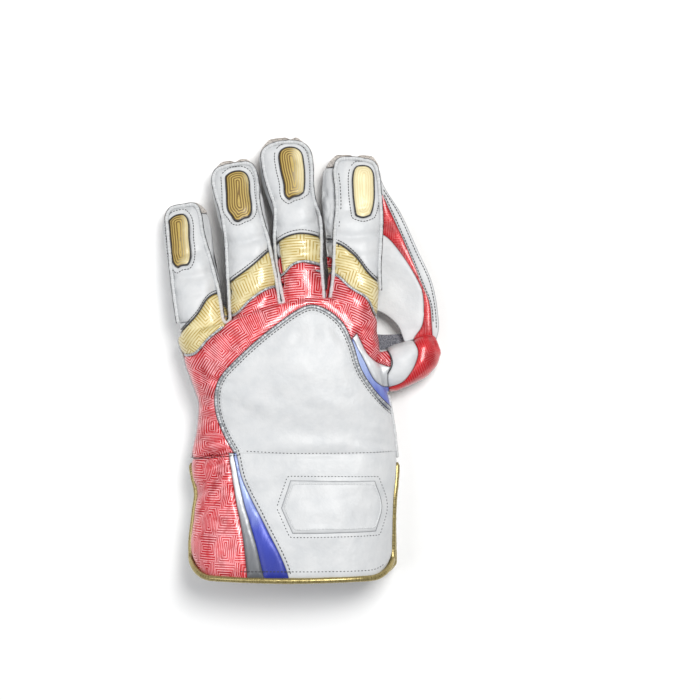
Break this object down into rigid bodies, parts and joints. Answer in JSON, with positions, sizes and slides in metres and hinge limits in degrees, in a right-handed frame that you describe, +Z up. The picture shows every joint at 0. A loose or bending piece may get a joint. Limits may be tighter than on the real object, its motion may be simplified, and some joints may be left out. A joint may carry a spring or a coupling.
{
  "type": "wicketkeeping glove",
  "caption": "Left-hand wicketkeeping glove of padded leather with a dimpled rubber palm, a web to the thumb, fingertip guards and a wide open cuff, lying palm down.",
  "frame": {"origin": "centre of the flat palm face that the glove lies on", "axes": "+Z up out of the back of the hand, +Y towards the fingertips, +X towards the thumb"},
  "size_m": [0.2033, 0.3201, 0.0665],
  "materials": {
    "white_leather": "fine grain, slight sheen",
    "red_foil": "glossy foiled leather with fine pale lines",
    "gold_foil": "glossy foiled leather with fine darker lines",
    "gold_guard": "moulded, concentric ridges",
    "silver_foil": "metallic foiled leather",
    "blue_foil": "metallic foiled leather",
    "palm_rubber": "matt, rows of small dimples",
    "gold_piping": "metallic, round corded edge",
    "grey_knit": "heather knit"
  },
  "bodies": {
    "root": {"little_back": "white_leather", "little_guard": "gold_guard", "little_band": "gold_foil", "little_gusset_left": "white_leather", "little_gusset_right": "white_leather", "little_palm": "palm_rubber", "ring_back": "white_leather", "ring_guard": "gold_guard", "ring_band": "gold_foil", "ring_gusset_left": "white_leather", "ring_gusset_right": "white_leather", "ring_palm": "palm_rubber", "middle_back": "white_leather", "middle_guard": "gold_guard", "middle_band": "gold_foil", "middle_gusset_left": "white_leather", "middle_gusset_right": "white_leather", "middle_palm": "palm_rubber", "index_back": "white_leather", "index_guard": "gold_guard", "index_band": "gold_foil", "index_gusset_left": "white_leather", "index_gusset_right": "white_leather", "index_palm": "palm_rubber", "back_panel": "white_leather", "knuckle_band": "red_foil", "side_blue": "blue_foil", "side_silver": "silver_foil", "hand_side_left": "white_leather", "hand_side_right": "white_leather", "palm_rubber": "palm_rubber", "cuff_panel": "white_leather", "cuff_red": "red_foil", "cuff_silver": "silver_foil", "cuff_blue": "blue_foil", "cuff_patch": "white_leather", "palm_cuff": "white_leather", "back_piping": "gold_piping", "palm_piping": "gold_piping", "thumb_back": "white_leather", "thumb_band": "red_foil", "thumb_rubber": "palm_rubber", "web_leather": "white_leather", "web_stripe": "red_foil", "web_border": "white_leather", "web_rubber": "palm_rubber", "web_knit": "grey_knit"}
  },
  "joints": []
}
